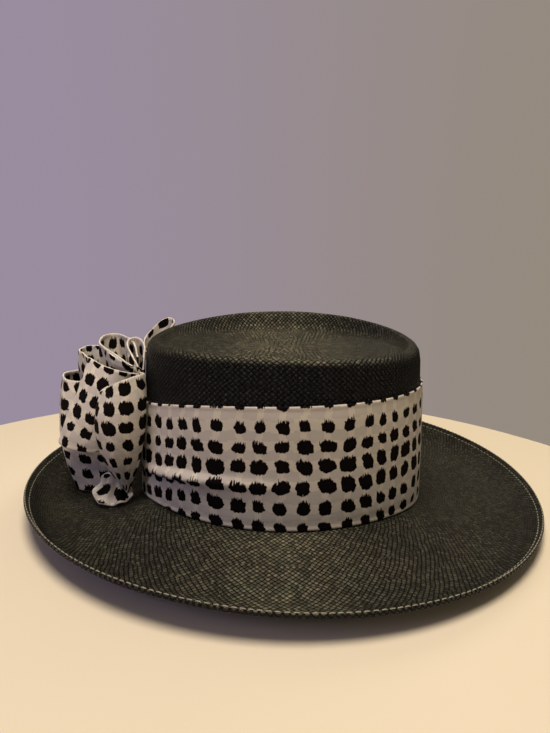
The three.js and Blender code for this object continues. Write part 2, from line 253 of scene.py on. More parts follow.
# %% [markdown]
# Straw gets its places strand by strand. Round the hat the number of strands has to be a whole number,
# and a real weaver adds strands in rings as the brim grows wider. strand_rings does the same: it keeps
# the count until the strands are too wide or too narrow, and then starts a new ring. In the tip the
# strands start from one point and are drawn out towards the crest, so the weave is longer there.

# %% Count strands ring by ring
STRAND_PITCH = 3.3
RING_SLACK = 0.07  # share by which strands may get too wide or too narrow before a new ring starts
RING_AHEAD = 0.05  # share by which a new ring overshoots, so that it lasts longer
DRAWN_NARROWER = 0.35  # how much of the drawing-out makes the strands narrower


def lengths_up(column):
    """How far along a line of points each point lies."""
    lengths = [0.0]
    for before, after in zip(column, column[1:]):
        lengths.append(lengths[-1] + (after - before).length)
    return lengths


def perimeter(points):
    return sum((points[i] - points[i - 1]).length for i in range(len(points)))


def strand_rings(columns, reference_row, drawn_out=lambda row: 1.0):
    """Places in strands. drawn_out says how much longer than wide the weave is at a row."""
    rows = len(columns[0])
    around = [perimeter([column[j] for column in columns]) for j in range(rows)]
    around.append(around[0])
    counts, current = [], None
    for j in range(rows):
        wanted = (around[j] + around[j + 1]) / 2 / STRAND_PITCH * drawn_out(j) ** DRAWN_NARROWER
        if current is None or abs(wanted / current - 1) >= RING_SLACK:
            growing = current is None or wanted > current
            current = max(4, round(wanted * (1 + RING_AHEAD if growing else 1 - RING_AHEAD)))
        counts.append(current)
    down = []
    for column in columns:
        lengths = lengths_up(column + [column[0]])
        strands = [0.0]
        for row in range(rows):
            strands.append(strands[-1] + (lengths[row + 1] - lengths[row]) / STRAND_PITCH / drawn_out(row))
        down.append([value - strands[reference_row] for value in strands])
    total = len(columns)
    print("strands round the rows:", sorted(set(counts)))

    def place_of(i, j, row):
        return counts[row] * i / total, down[i % total][j]

    return place_of


# %% [markdown]
# Next the materials, and first the effects that they share. An effect is a node group: a small machine
# with named inputs and outputs that can be placed in any material with its own values. A formula in
# nodes is hard to read as a list of links. So a small class stands for a value on a wire, and Python's
# own signs on it add the math nodes: a * b + 0.5 becomes a Multiply node and an Add node.

# %% Values on wires


def feed(tree, socket, value):
    """Puts a number, a colour or a value on a wire into a socket."""
    if isinstance(value, Wired):
        tree.links.new(value.socket, socket)
    else:
        socket.default_value = value


def math_node(operation, *values):
    """Adds a math node. At least one of the values is on a wire, and says in which tree."""
    tree = next(value.tree for value in values if isinstance(value, Wired))
    node = tree.nodes.new("ShaderNodeMath")
    node.operation = operation
    for socket, value in zip(node.inputs, values):
        feed(tree, socket, value)
    return Wired(tree, node.outputs[0])


class Wired:
    """A value on a wire of a node tree."""

    def __init__(self, tree, socket):
        self.tree, self.socket = tree, socket

    def __add__(self, other):
        return math_node("ADD", self, other)

    def __sub__(self, other):
        return math_node("SUBTRACT", self, other)

    def __rsub__(self, other):
        return math_node("SUBTRACT", other, self)

    def __mul__(self, other):
        return math_node("MULTIPLY", self, other)

    def __truediv__(self, other):
        return math_node("DIVIDE", self, other)

    def __rtruediv__(self, other):
        return math_node("DIVIDE", other, self)

    def __pow__(self, other):
        return math_node("POWER", self, other)

    def __mod__(self, other):
        return math_node("FLOORED_MODULO", self, other)

    def __abs__(self):
        return math_node("ABSOLUTE", self)


# %% Helpers for shader nodes: groups


def new_group(name, inputs, outputs):
    """A group, its inputs as values on wires, and the sockets of its outputs."""
    group = bpy.data.node_groups.new(name, "ShaderNodeTree")
    for socket, kind, default in inputs:
        made = group.interface.new_socket(socket, in_out="INPUT", socket_type=kind)
        if default is not None:
            made.default_value = default
    for socket in outputs:
        group.interface.new_socket(socket, in_out="OUTPUT", socket_type="NodeSocketFloat")
    given = group.nodes.new("NodeGroupInput").outputs
    result = group.nodes.new("NodeGroupOutput").inputs
    return group, {socket: Wired(group, given[socket]) for socket, _, _ in inputs}, result


# %% Helpers for shader nodes: blends, noise and random values


def blend_colours(share, first, second):
    node = share.tree.nodes.new("ShaderNodeMix")
    node.data_type = "RGBA"
    for socket, value in ((node.inputs["Factor"], share), (node.inputs[6], first), (node.inputs[7], second)):
        feed(share.tree, socket, value)
    return Wired(share.tree, node.outputs[2])


def blend_values(share, first, second):
    node = share.tree.nodes.new("ShaderNodeMix")
    for socket, value in (("Factor", share), ("A", first), ("B", second)):
        feed(share.tree, node.inputs[socket], value)
    return Wired(share.tree, node.outputs[0])


def soft_step(value, low, high, start=0.0, end=1.0):
    """start below low, end above high, and a soft curve between them."""
    node = value.tree.nodes.new("ShaderNodeMapRange")
    node.interpolation_type = "SMOOTHSTEP"
    feed(value.tree, node.inputs["Value"], value)
    for socket, number in zip(("From Min", "From Max", "To Min", "To Max"), (low, high, start, end)):
        node.inputs[socket].default_value = number
    return Wired(value.tree, node.outputs[0])


def noise_value(place, scale, detail=2.0, roughness=0.5):
    node = place.tree.nodes.new("ShaderNodeTexNoise")
    feed(place.tree, node.inputs["Vector"], place)
    node.inputs["Scale"].default_value = scale
    node.inputs["Detail"].default_value = detail
    node.inputs["Roughness"].default_value = roughness
    return Wired(place.tree, node.outputs["Fac"])


def make_vector(x, y, z=0.0):
    node = x.tree.nodes.new("ShaderNodeCombineXYZ")
    for socket, value in zip(node.inputs, (x, y, z)):
        feed(x.tree, socket, value)
    return Wired(x.tree, node.outputs[0])


def split(vector, kind="ShaderNodeSeparateXYZ"):
    """The three numbers of a vector or a colour."""
    node = vector.tree.nodes.new(kind)
    feed(vector.tree, node.inputs[0], vector)
    return [Wired(vector.tree, output) for output in node.outputs]


def random_values(place):
    """Three random numbers from 0 to 1 that stay the same over one cell of a grid."""
    node = place.tree.nodes.new("ShaderNodeTexWhiteNoise")
    node.noise_dimensions = "3D"
    feed(place.tree, node.inputs["Vector"], place)
    return split(Wired(place.tree, node.outputs["Color"]), "ShaderNodeSeparateColor")


# %% [markdown]
# Straw weave. On the hat two sets of flat strands cross at right angles, both slanting across the
# surface, and each strand goes over one and under one. Seen from above that is a field of small pillows
# that stand on their corners. The group turns the place by 45 degrees by adding and subtracting its two
# numbers, cuts it into cells, and swaps the pillow's direction from cell to cell like a chess board. A
# slow sway keeps the rows from running dead straight. Unshaded is 1 on a strand's back and falls to 0
# at its edges and ends, where the straw's material paints the gaps black as painted shade. Tone is a
# random number for each strand.

# %% Node group: straw weave


def straw_weave_group():
    group, given, result = new_group(
        "Straw weave",
        [("Place", "NodeSocketVector", None), ("Fibre depth", "NodeSocketFloat", 0.15)],
        ["Height", "Unshaded", "Tone"],
    )
    x, y, _ = split(given["Place"])
    x = x + (noise_value(given["Place"], 0.3) - 0.5) * 1.1
    a, b = x + y, x - y
    cell_a, cell_b = math_node("FLOOR", a), math_node("FLOOR", b)
    in_a, in_b = math_node("FRACT", a) * 2.0 - 1.0, math_node("FRACT", b) * 2.0 - 1.0
    odd = (cell_a + cell_b) % 2.0
    even = 1.0 - odd
    along = in_a * even + in_b * odd
    across = in_b * even + in_a * odd
    edge = 1.0 - abs(across) ** 4.0
    arch = 1.0 - abs(along) ** 2.6 * 0.75
    pillow = edge * arch
    tone, uneven, _ = random_values(make_vector(cell_a, cell_b, 3.0))
    fibre = noise_value(make_vector(across * 3.0, along * 0.4, tone * 50.0), 3.0) - 0.5
    height = pillow + (uneven - 0.5) * 0.25 + fibre * given["Fibre depth"]
    feed(group, result["Height"], height)
    # Unshaded: 0 in the gaps and at the strands' ends, which the straw paints black as painted shade
    feed(group, result["Unshaded"], soft_step(pillow, 0.25, 0.9))
    feed(group, result["Tone"], tone)
    return group


STRAW_WEAVE = straw_weave_group()
print("group made:", STRAW_WEAVE.name, len(STRAW_WEAVE.nodes), "nodes")

# %% [markdown]
# Brush print. The cloth is printed with loose rows of dark daubs, each like one dab of a wide dry
# brush: rounded below, torn into short streaks above, no two alike. In a group that is a grid of cells
# with a rounded square in each, whose size and place are shuffled by a random number per cell, and
# whose upper edge is raised and lowered by a noise that changes quickly across and hardly upwards.
# A second, fainter field of squares between them gives the pale wash that lies under the daubs. All
# its lengths are millimetres of cloth.

# %% Node group: brush print
DAUB_PITCH = (12.6, 12.1)
DAUB_SIZE = (9.0, 8.6)
DAUB_SQUARENESS = 2.8  # 2 would be an ellipse
WASH_HALF = (4.4, 3.2)
WASH_SQUARENESS = 6.0


def brush_print_group():
    group, given, result = new_group(
        "Brush print",
        [
            ("Place", "NodeSocketVector", None),
            ("Across", "NodeSocketFloat", DAUB_PITCH[0]),
            ("Up", "NodeSocketFloat", DAUB_PITCH[1]),
            ("Width", "NodeSocketFloat", DAUB_SIZE[0]),
            ("Tall", "NodeSocketFloat", DAUB_SIZE[1]),
            ("Torn", "NodeSocketFloat", 1.0),
        ],
        ["Ink", "Wash"],
    )
    x, y, _ = split(given["Place"])
    x = x + (noise_value(make_vector(x, 5.0), 0.022, 1.0) - 0.5) * 12.0  # columns drift apart and together
    column, row = x / given["Across"], y / given["Up"]
    cell_x, cell_y = math_node("FLOOR", column), math_node("FLOOR", row)
    one, two, three = random_values(make_vector(cell_x, cell_y, 7.0))
    four, five, _ = random_values(make_vector(cell_x, cell_y, 19.0))

    def from_middle(count, pitch, random, shuffle):
        """How far a point is from the middle of its daub, which is shuffled about its cell's middle."""
        return (math_node("FRACT", count) - 0.5) * pitch + (random - 0.5) * shuffle

    dx = from_middle(column, given["Across"], one, 1.1)
    dy = from_middle(row, given["Up"], two, 1.2)
    dx = dx + dy * ((four - 0.25) * 0.4)  # the brush leans
    key = (one + five) * 90.0
    streak = noise_value(make_vector(x * 1.35, dy * 0.12, key), 1.0, 2.0, 0.7) - 0.5
    lump = noise_value(make_vector(x, y, key), 0.36, 1.0) - 0.5
    fine = noise_value(make_vector(x, y, 4.0), 1.6, 2.0, 0.6) - 0.5
    tear = streak * given["Torn"] * (soft_step(dy, -1.5, 2.5, 0.35, 1.0) * 7.5)
    row_size = math_node("COSINE", (cell_y - 3.5) * 1.05) * 0.14 + 0.94  # some rows are printed larger
    half_width = given["Width"] * (three * 0.16 + 0.41) * row_size + (lump * 2.6 + fine * 0.7)
    half_height = given["Tall"] * (five * 0.13 + 0.43) * row_size + (lump * 2.0 + tear)
    outline = abs(dx / half_width) ** DAUB_SQUARENESS + abs(dy / half_height) ** DAUB_SQUARENESS
    feed(group, result["Ink"], soft_step(outline, 1.06, 0.94))

    wash_x = from_middle(column + 0.5, given["Across"], four, 2.0) / WASH_HALF[0]
    wash_y = from_middle(row + 0.45, given["Up"], five, 2.0) / WASH_HALF[1]
    outline = abs(wash_x) ** WASH_SQUARENESS + abs(wash_y) ** WASH_SQUARENESS
    feed(group, result["Wash"], soft_step(outline, 1.3, 0.7))
    return group


BRUSH_PRINT = brush_print_group()
print("group made:", BRUSH_PRINT.name, len(BRUSH_PRINT.nodes), "nodes")

# %% [markdown]
# Cloth weave: warp and weft threads half a millimetre apart. From the photo's distance they are almost
# too fine to see, but close up they stop the cloth from looking like plastic. Two crossing sine waves
# are enough, with a little noise so that no thread is perfectly even.

# %% Node group: cloth weave


def cloth_weave_group():
    group, given, result = new_group(
        "Cloth weave",
        [("Place", "NodeSocketVector", None), ("Thread", "NodeSocketFloat", 0.55)],
        ["Height", "Slub"],
    )
    x, y, _ = split(given["Place"])
    turns = 2 * math.pi / given["Thread"]
    warp, weft = math_node("SINE", x * turns), math_node("SINE", y * turns)
    slub = noise_value(given["Place"], 1.3, 3.0, 0.6)
    feed(group, result["Height"], warp * weft * 0.35 + slub)
    feed(group, result["Slub"], slub)
    return group


CLOTH_WEAVE = cloth_weave_group()
print("group made:", CLOTH_WEAVE.name, len(CLOTH_WEAVE.nodes), "nodes")

# %% [markdown]
# A material starts the same way each time: a new node tree, a Principled BSDF, and the place of the
# surface from its UV map. Numbers that are the same all over go straight onto the shader's sockets.

# %% Start a material


def new_material(name, roughness, **plain):
    """A material, its shader, and the place from the UV map as a value on a wire."""
    material = bpy.data.materials.new(name)
    material.use_nodes = True
    tree = material.node_tree
    shader = tree.nodes["Principled BSDF"]
    shader.inputs["Roughness"].default_value = roughness
    for socket, value in plain.items():
        shader.inputs[socket.replace("_", " ")].default_value = value
    place = tree.nodes.new("ShaderNodeUVMap")
    place.uv_map = "places"
    return material, shader, Wired(tree, place.outputs[0])


def place_group(group, place, **values):
    """Places a group and returns its outputs by name."""
    node = place.tree.nodes.new("ShaderNodeGroup")
    node.node_tree = group
    feed(place.tree, node.inputs["Place"], place)
    for socket, value in values.items():
        node.inputs[socket.replace("_", " ")].default_value = value
    return {output.name: Wired(place.tree, output) for output in node.outputs}


def bump(shader, height, distance, strength=1.0):
    """A relief that is distance millimetres deep."""
    node = height.tree.nodes.new("ShaderNodeBump")
    node.inputs["Distance"].default_value = distance * MM
    node.inputs["Strength"].default_value = strength
    feed(height.tree, node.inputs["Height"], height)
    height.tree.links.new(node.outputs[0], shader.inputs["Normal"])


def place_in_metres(tree):
    """Where a point of the surface lies on the object, whatever its UV map says."""
    return Wired(tree, tree.nodes.new("ShaderNodeTexCoord").outputs["Object"])


# %% [markdown]
# The straw is dyed black and faintly blue. Its gaps between the strands, and the strands' ends where
# they dive under, are painted deep black as painted shade. What makes it look olive is a layer of painted
# sheen with some dust: painted top light where the surface looks up, a painted highlight along the middle
# of the hat, slow patches, and less of it towards the rim. The surface's normal says what looks up, and
# the place on the object says the rest. Each strand takes its own tone, raised so that a few stand out as
# painted glints, and the layer turns from green to brown in places.

# %% Material: black woven straw
# where the painted highlight along the middle of the hat lies, and how far it reaches
HIGHLIGHT_MIDDLE_X = -6.0
HIGHLIGHT_REACH = 70.0
HIGHLIGHT_ASIDE = 0.36  # the share of the painted highlight that is left beyond its reach
RIM_FADE_FROM, RIM_FADE_TO, RIM_FADE_LEAVES = 0.82, 0.97, 0.75  # shares of the way to the rim, and of the painted sheen and dust
STRAND_DARK, STRAND_LIGHT = (0.002, 0.002, 0.003, 1), (0.012, 0.013, 0.016, 1)
# colours of the painted sheen, with some dust in it
SHEEN_DUST_DARK = (0.085, 0.081, 0.057, 1)
SHEEN_DUST_GREEN, SHEEN_DUST_BROWN = (0.250, 0.255, 0.165, 1), (0.285, 0.245, 0.172, 1)
# painted shade in the gaps between the strands and where they dive under
GAP_SHADE = (0.001, 0.001, 0.001, 1)


def straw_material():
    material, shader, place = new_material("black_straw", 0.5, Specular_IOR_Level=0.2)
    weave = place_group(STRAW_WEAVE, place, Fibre_depth=0.25)
    where = place_in_metres(place.tree)
    x, y, _ = split(where)
    normal = Wired(place.tree, place.tree.nodes.new("ShaderNodeNewGeometry").outputs["Normal"])
    # painted top light: surfaces that look up get the layer of painted sheen and dust
    looks_up = soft_step(split(normal)[2], 0.15, 0.8)
    # painted highlight along the middle of the hat
    middle = soft_step(abs(x - HIGHLIGHT_MIDDLE_X * MM), 0.0, HIGHLIGHT_REACH * MM, 1.0, HIGHLIGHT_ASIDE)
    patches = soft_step(noise_value(where, 22.0), 0.35, 0.65, 0.75, 1.0)
    share_x, share_y = x / (BRIM_HALF[0] * MM), y / (BRIM_HALF[1] * MM)
    to_rim = (share_x * share_x + share_y * share_y) ** 0.5
    # less of the painted sheen and dust towards the rim
    less_at_rim = soft_step(to_rim, RIM_FADE_FROM, RIM_FADE_TO, 1.0, RIM_FADE_LEAVES)
    sheen_and_dust = looks_up * less_at_rim * (patches * middle)
    # each strand's random tone, raised so that a few strands stand out bright as painted glints
    bright = weave["Tone"] ** 1.4
    strand = blend_colours(bright, STRAND_DARK, STRAND_LIGHT)
    warm = blend_colours(soft_step(noise_value(where, 55.0), 0.35, 0.65), SHEEN_DUST_GREEN, SHEEN_DUST_BROWN)
    # the olive layer of painted sheen, with some dust, over the black strands
    sheen_dust_colour = blend_colours(sheen_and_dust, strand, blend_colours(bright, SHEEN_DUST_DARK, warm))
    # the gaps between the strands get painted shade
    feed(place.tree, shader.inputs["Base Color"], blend_colours(weave["Unshaded"], GAP_SHADE, sheen_dust_colour))
    feed(place.tree, shader.inputs["Roughness"], blend_values(weave["Unshaded"], 0.9, 0.25))
    bump(shader, weave["Height"], 1.1)
    return material


STRAW = straw_material()
print("material made:", STRAW.name)

# %% [markdown]
# The cloth is a matt cream cotton. The ink sits in it and not on it, so it changes the colour but not
# the relief or the gloss. The same material serves band, bow and tail; they differ only in the places
# that their meshes carry.

# %% Material: printed cloth
CREAM_DARK, CREAM_LIGHT = (0.74, 0.67, 0.58, 1), (0.82, 0.76, 0.67, 1)
INK_DARK, INK_LIGHT = (0.003, 0.001, 0.001, 1), (0.006, 0.004, 0.004, 1)
WASH_COLOUR, WASH_STRENGTH = (0.53, 0.48, 0.49, 1), 0.45


def cloth_material():
    material, shader, place = new_material("printed_cloth", 0.85, Specular_IOR_Level=0.1)
    daubs = place_group(BRUSH_PRINT, place)
    threads = place_group(CLOTH_WEAVE, place)
    ground = blend_colours(threads["Slub"], CREAM_DARK, CREAM_LIGHT)
    washed = blend_colours(daubs["Wash"] * WASH_STRENGTH, ground, WASH_COLOUR)
    ink = blend_colours(threads["Slub"], INK_DARK, INK_LIGHT)
    feed(place.tree, shader.inputs["Base Color"], blend_colours(daubs["Ink"], washed, ink))
    bump(shader, threads["Height"], 0.08, 0.6)
    return material


CLOTH = cloth_material()
print("material made:", CLOTH.name)

# %% [markdown]
# The crown is one woven shell: a wall, a rounded crest, a slope down into the sunken tip, and the flat
# tip. It could be turned on a lathe if it were round, but it is oval and its crest isn't level, so each
# column of the grid is drawn by itself. The table gives the section over the crest, as how far inside
# the crest's oval a point lies and how far under the crest's height. The first rows are the crest's
# round, and they grow with its radius.

# %% Crown
CROWN_COLUMNS = 240
WALL_ROWS = 34
WALL_WAVE = 0.5
CREST_WAVE = 0.35
TIP_WAVE = 0.25
TIP_STEP = 2.4
CREST_SECTION = [
    # inset, down, share of the crest's lift
    (0.0, 3.5, 1.0),
    (0.25, 2.2, 1.0),
    (1.05, 1.0, 1.0),
    (2.2, 0.25, 1.0),
    (3.5, 0.0, 1.0),
    (4.7, 0.3, 1.0),
    (5.8, 1.2, 1.0),
    (7.8, 3.7, 0.75),
    (10.8, 6.8, 0.4),
    (13.4, 8.5, 0.15),
    (16.6, 9.1, 0.0),
]
SLOPE_FOOT, TIP_DEPTH, _ = CREST_SECTION[-1]


def crown_column(turn):
    foot = BRIM_ROOT_HEIGHT + COLLAR_RISE + GAP + saddle(turn)
    radius = crest_round(turn)
    top = CREST_HEIGHT - radius + crest_lift(turn)
    column = []
    for j in range(WALL_ROWS):
        height = mix(foot, top, j / WALL_ROWS)
        half_length, half_width = crown_oval(height)
        point = on_oval(half_length, half_width, turn, height)
        soft = WALL_WAVE * math.sin(math.pi * clamp01((height - 20) / 90))
        push = soft * wander(point.x, point.y, height, 55, 3.1)
        column.append(on_oval(half_length + push, half_width + push, turn, height))
    for inset, down, lift in CREST_SECTION:
        if inset <= CREST_RADIUS:
            inset, down = inset * radius / CREST_RADIUS, down * radius / CREST_RADIUS
        else:
            inset = mix(radius, SLOPE_FOOT, (inset - CREST_RADIUS) / (SLOPE_FOOT - CREST_RADIUS))
        height = CREST_HEIGHT - down + lift * (crest_lift(turn) + CREST_WAVE * wander_round(turn, 0, 40, 8.3))
        column.append(on_oval(CREST_HALF[0] - inset, CREST_HALF[1] - inset, turn, height))
    inset = SLOPE_FOOT
    while CREST_HALF[1] - inset > 2 * TIP_STEP:
        inset += TIP_STEP
        share = (CREST_HALF[1] - inset) / (CREST_HALF[1] - SLOPE_FOOT)
        half_length = max((CREST_HALF[0] - SLOPE_FOOT) * share, 0.5)
        point = on_oval(half_length, CREST_HALF[1] - inset, turn, CREST_HEIGHT - TIP_DEPTH)
        point.z += TIP_WAVE * wander(point.x, point.y, 0, 30, 5.7)
        column.append(point)
    return column


def tip_drawn_out(row):
    """The weave is as long as wide up to the crest, and gets twice as long over the next rows."""
    return mix(1.0, 2.0, smooth((row - WALL_ROWS - 6) / 6))


crown_columns = [crown_column(360 * i / CROWN_COLUMNS) for i in range(CROWN_COLUMNS)]
crown_places = strand_rings(crown_columns, WALL_ROWS, tip_drawn_out)
crown_piece = grid_mesh("straw_crown", crown_columns, crown_places, STRAW)
print("crown rows:", len(crown_columns[0]), "faces:", len(crown_piece.data.polygons))

# %% [markdown]
# The grid leaves a hole as wide as a finger nail in the middle of the tip, where the weaving starts. A
# bmesh can close it with one flat face. A Solidify modifier then gives the shell its wall.

# %% Close the middle of the tip
crown_rows = len(crown_columns[0])
shell = bmesh.new()
shell.from_mesh(crown_piece.data)
shell.verts.ensure_lookup_table()
button = shell.faces.new([shell.verts[(i + 1) * crown_rows - 1] for i in range(CROWN_COLUMNS)])
button.smooth = True
places = shell.loops.layers.uv["places"]
for loop in button.loops:
    loop[places].uv = (loop.vert.co.x / MM / STRAND_PITCH, loop.vert.co.y / MM / STRAND_PITCH)
shell.to_mesh(crown_piece.data)
shell.free()
give_wall(crown_piece, STRAW_WALL)
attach(crown_piece, "root")
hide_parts("crown")
print("wall:", STRAW_WALL, "mm")

# %% [markdown]
# The brim is a ring with a thick rolled edge. Its section is drawn as one closed line: out along the
# underside, round the edge, and back along the top. BRIM_LEVELS says how high the underside lies at a
# share of the brim's width, counted in steps: 0 is the root at the crown, 1 the flat run that the hat
# stands on, and 2 the edge. The hem is where the straw is turned over and sewn: the wall grows
# thicker there, with a shallow groove along the stitches.

# %% Section of the brim
BRIM_COLUMNS = 240
BRIM_ROWS = 62
BRIM_WIDTH = 80.5
BRIM_START = 0.035  # share of the width where the underside leaves the collar
BRIM_FINE = 0.98  # share of the width where the last short steps to the edge start
BRIM_ROUND = 0.01  # share of the width that the round edge takes
HEM_WALL = 2.8
HEM_STEP = 1.6
STITCH_INSET = 3.2
GROOVE_DEEP = 0.35
GROOVE_REACH = 0.8
BRIM_WAVE = 0.5
WAVE_FROM, WAVE_OVER = 0.76, 0.15  # the flat run before it stays flat
BRIM_LEVELS = [
    (BRIM_START, 0.0),
    (0.32, 0.6),
    (0.6, 1.0),
    (0.72, 1.0),
    (0.82, 1.14),
    (0.89, 1.36),
    (0.965, 1.84),
    (1.0, 2.0),
]


def brim_oval(share):
    centre_x = mix(CROWN_CENTRE_X, 0.0, share)
    half_length = mix(CROWN_HALF[0] - STRAW_WALL, BRIM_HALF[0], share)
    return centre_x, half_length, mix(CROWN_HALF[1] - STRAW_WALL, BRIM_HALF[1], share)


def brim_underside(share, turn):
    level = through(BRIM_LEVELS, share)
    inner = mix(BRIM_ROOT_HEIGHT + saddle(turn), run_height(turn), clamp01(level))
    height = mix(inner, edge_height(turn), clamp01(level - 1))
    beyond_run = smooth((share - WAVE_FROM) / WAVE_OVER)
    return height + BRIM_WAVE * beyond_run * wander_round(turn, 60 * share, 35, 1.9)


def brim_wall(share):
    from_edge = (1 - share) * BRIM_WIDTH
    hem = smooth((STITCH_INSET - from_edge) / HEM_STEP)
    return mix(STRAW_WALL, HEM_WALL, hem) - GROOVE_DEEP * hump(from_edge - STITCH_INSET, GROOVE_REACH)


def brim_point(share, turn, height):
    centre_x, half_length, half_width = brim_oval(share)
    return on_oval(half_length, half_width, turn, height, centre_x)


def brim_column(turn):
    last = 1 - BRIM_ROUND
    shares = [mix(BRIM_START, BRIM_FINE, k / BRIM_ROWS) for k in range(BRIM_ROWS + 1)]
    shares += [(BRIM_FINE + last) / 2, last]
    under = [brim_point(share, turn, brim_underside(share, turn)) for share in shares]
    top = [brim_point(share, turn, brim_underside(share, turn) + brim_wall(share)) for share in shares]
    edge = []
    middle = brim_underside(last, turn) + HEM_WALL / 2
    for k in range(1, 6):
        angle = -math.pi / 2 + math.pi * k / 6
        height = middle + HEM_WALL / 2 * math.sin(angle)
        edge.append(brim_point(last + BRIM_ROUND * math.cos(angle), turn, height))
    root = BRIM_ROOT_HEIGHT + saddle(turn)
    centre_x, half_length, half_width = brim_oval(0)

    def collar_point(out, up):
        return on_oval(half_length + out, half_width + out, turn, root + up, centre_x)

    inner = [
        collar_point(-STRAW_WALL, COLLAR_RISE),
        collar_point(0.2 - STRAW_WALL, 1.0),
        collar_point(1.2 - STRAW_WALL, 0.2),
    ]
    outer = [
        collar_point(1.0, STRAW_WALL + 0.15),
        collar_point(0.0, STRAW_WALL + 0.4),
        collar_point(0.0, COLLAR_RISE),
    ]
    return inner + under + edge + top[::-1] + outer


# %% Brim, built and placed
brim_columns = [brim_column(360 * i / BRIM_COLUMNS) for i in range(BRIM_COLUMNS)]
brim_places = strand_rings(brim_columns, reference_row=40)
brim_piece = grid_mesh("straw_brim", brim_columns, brim_places, STRAW, ring=True)
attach(brim_piece, "root")
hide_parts("brim")
print("brim rows:", len(brim_columns[0]), "faces:", len(brim_piece.data.polygons))

# %% [markdown]
# Two lines of stitches hold the turned edge of the brim, one along the hem's groove and one close to the
# rim. They are real little threads here and not a drawing, because they catch the light on the near
# side. Each stitch is a short rounded rod along the edge whose ends dive into the straw. A ring of
# points, slid along a short arc, makes it. Together they are one mesh, so they count as one piece.

# %% Stitches of the hem
STITCHES = 270
EDGE_INSET = 0.9
STITCH_LENGTH = 3.1
STITCH_RADIUS = 0.32
STITCH_DIVE = 0.45
STITCH_STEPS = 8
STITCH_SIDES = 6
RIM_RADIUS = 168  # the brim's mean radius at the stitches
THREAD_DARK, THREAD_LIGHT = (0.20, 0.19, 0.14, 1), (0.42, 0.39, 0.31, 1)


def thread_material():
    material, shader, place = new_material("hem_thread", 0.55, Sheen_Weight=0.2)
    tone = soft_step(math_node("SINE", noise_value(place, 4.0) * 12.0), -1.0, 1.0)
    feed(place.tree, shader.inputs["Base Color"], blend_colours(tone, THREAD_DARK, THREAD_LIGHT))
    return material


def stitch_columns(centre_turn, inset):
    share = 1 - inset / BRIM_WIDTH
    half_turn = math.degrees(STITCH_LENGTH / 2 / RIM_RADIUS)
    columns = []
    for k in range(STITCH_STEPS + 1):
        from_middle = 2 * k / STITCH_STEPS - 1
        turn = centre_turn + half_turn * from_middle
        radius = STITCH_RADIUS * (1 - 0.5 * from_middle ** 6)
        lift = STITCH_RADIUS * 0.5 - STITCH_DIVE * from_middle ** 4
        middle = brim_point(share, turn, brim_underside(share, turn) + brim_wall(share) + lift)
        out = Vector((math.cos(math.radians(turn)), math.sin(math.radians(turn)), 0))
        ring = []
        for m in range(STITCH_SIDES + 1):
            angle = 2 * math.pi * m / STITCH_SIDES
            ring.append(middle + radius * (math.cos(angle) * out + math.sin(angle) * Vector((0, 0, 1))))
        columns.append(ring)
    return columns


def stitch_mesh(name, stitches, material):
    points, faces, places = [], [], []
    for number, columns in enumerate(stitches):

        def place_of(i, j, _):
            return i + number, j

        more_faces, more_places = grid_faces(columns, place_of, around=False, first=len(points))
        faces += more_faces
        places += more_places
        points += [point for column in columns for point in column]
    return mesh_piece(name, points, faces, places, material)


stitches = []
for k in range(STITCHES):
    turn = 360 * k / STITCHES + 0.12 * math.sin(37.0 * k)
    stitches += [stitch_columns(turn, STITCH_INSET), stitch_columns(turn + 180 / STITCHES, EDGE_INSET)]
stitch_piece = stitch_mesh("brim_stitches", stitches, thread_material())
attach(stitch_piece, "root")
print("stitches:", len(stitches), "faces:", len(stitch_piece.data.polygons))

# %% [markdown]
# Cloth is thin, and its edges are rolled in and sewn, so they are thicker and round. One helper turns a
# surface into such a sheet: it lays a face on each side of it, thin in the field and thick along the
# hems, and joins the two faces by a round edge. The section is closed, like the brim's. On the bow the
# rolled hems show no print: there the place stays on the line between two rows of daubs.

# %% The section of a sheet
HEM_THICK = 1.25
FIELD_THICK = 0.7
HEM_WIDTH = 1.3
HEM_FADE = 0.7
CAP_POINTS = 3  # of the round edge between the two faces


def outward_normals(columns, closed):
    count, rows = len(columns), len(columns[0])
    normals = []
    for i in range(count):
        ahead = (i + 1) % count if closed else min(i + 1, count - 1)
        behind = (i - 1) % count if closed else max(i - 1, 0)
        line = []
        for j in range(rows):
            along = columns[ahead][j] - columns[behind][j]
            up = columns[i][min(j + 1, rows - 1)] - columns[i][max(j - 1, 0)]
            line.append(along.cross(up).normalized())
        normals.append(line)
    return normals


def cloth_sections(columns, closed):
    """Closed sections of a sheet, and for each point of a section the row of the surface it came from."""
    normals = outward_normals(columns, closed)
    rows = len(columns[0])
    sections = []
    for column, line in zip(columns, normals):
        lengths = lengths_up(column)
        outer, inner = [], []
        for j in range(rows):
            from_edge = min(lengths[j], lengths[-1] - lengths[j])
            thick = mix(HEM_THICK, FIELD_THICK, smooth((from_edge - HEM_WIDTH) / HEM_FADE))
            outer.append(column[j] + line[j] * (thick / 2))
            inner.append(column[j] - line[j] * (thick / 2))
        top_cap, low_cap = [], []
        beyond_top = (column[-1] - column[-2]).normalized()
        beyond_low = (column[0] - column[1]).normalized()
        for k in range(1, CAP_POINTS + 1):
            over = HEM_THICK / 2 * math.sin(math.pi * k / (CAP_POINTS + 1))
            side = HEM_THICK / 2 * math.cos(math.pi * k / (CAP_POINTS + 1))
            top_cap.append(column[-1] + line[-1] * side + beyond_top * over)
            low_cap.append(column[0] - line[0] * side + beyond_low * over)
        sections.append(outer + top_cap + inner[::-1] + low_cap)
    row_of = list(range(rows)) + [rows - 1] * CAP_POINTS + list(range(rows))[::-1] + [0] * (CAP_POINTS + 1)
    return sections, row_of


